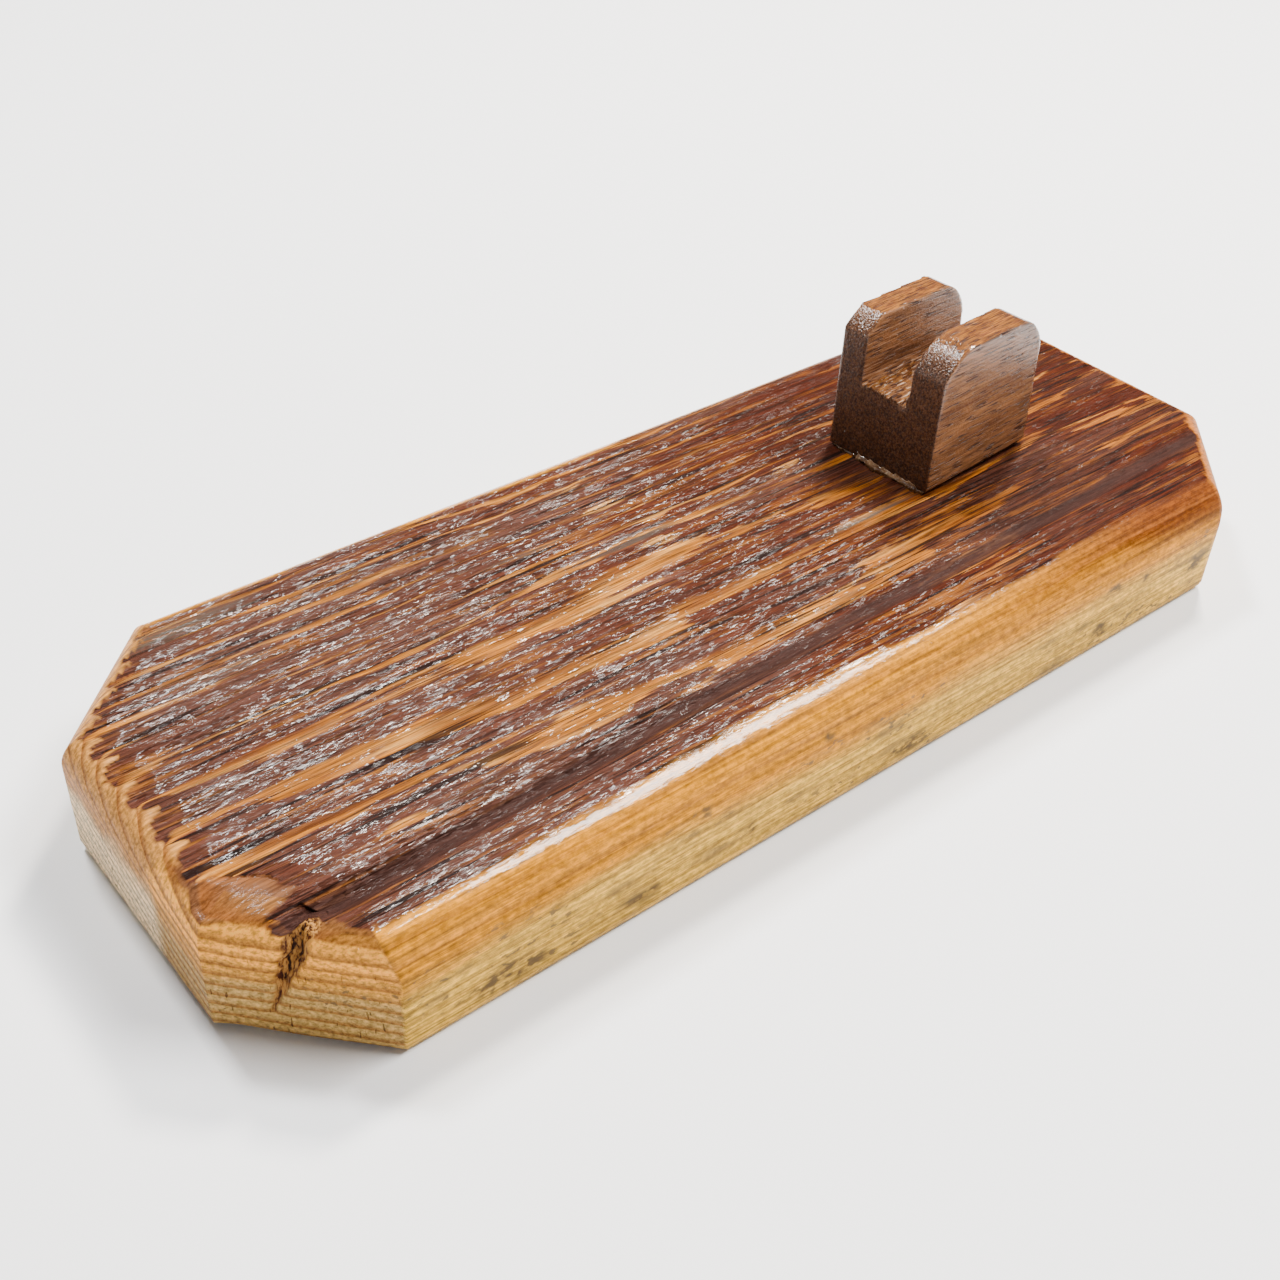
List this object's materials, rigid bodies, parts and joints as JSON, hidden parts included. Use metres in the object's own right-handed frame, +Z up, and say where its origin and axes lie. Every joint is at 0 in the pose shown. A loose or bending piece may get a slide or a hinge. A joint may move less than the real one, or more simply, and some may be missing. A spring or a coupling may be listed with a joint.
{
  "type": "forked rest",
  "caption": "Low wooden display rest: a weathered, varnished softwood board with clipped corners and a small walnut block slotted into a fork.",
  "frame": {"origin": "middle of the board's length and width, on the flat underside that it rests on", "axes": "+X along the board's grain towards the end that carries the fork, +Y across the board to the side without the split, +Z up"},
  "size_m": [0.236, 0.089, 0.0536],
  "materials": {
    "softwood": "brushed, weathered brown on top and pale straw below, under clear gloss varnish",
    "walnut": "sanded, clear satin varnish, open pores",
    "cured_glue": "clear amber, glossy",
    "plated_steel": "zinc plated, dull"
  },
  "bodies": {
    "root": {"base_board": "softwood", "fork_rest": "walnut", "glue_bed": "cured_glue", "fixing_screw": "plated_steel"}
  },
  "joints": []
}
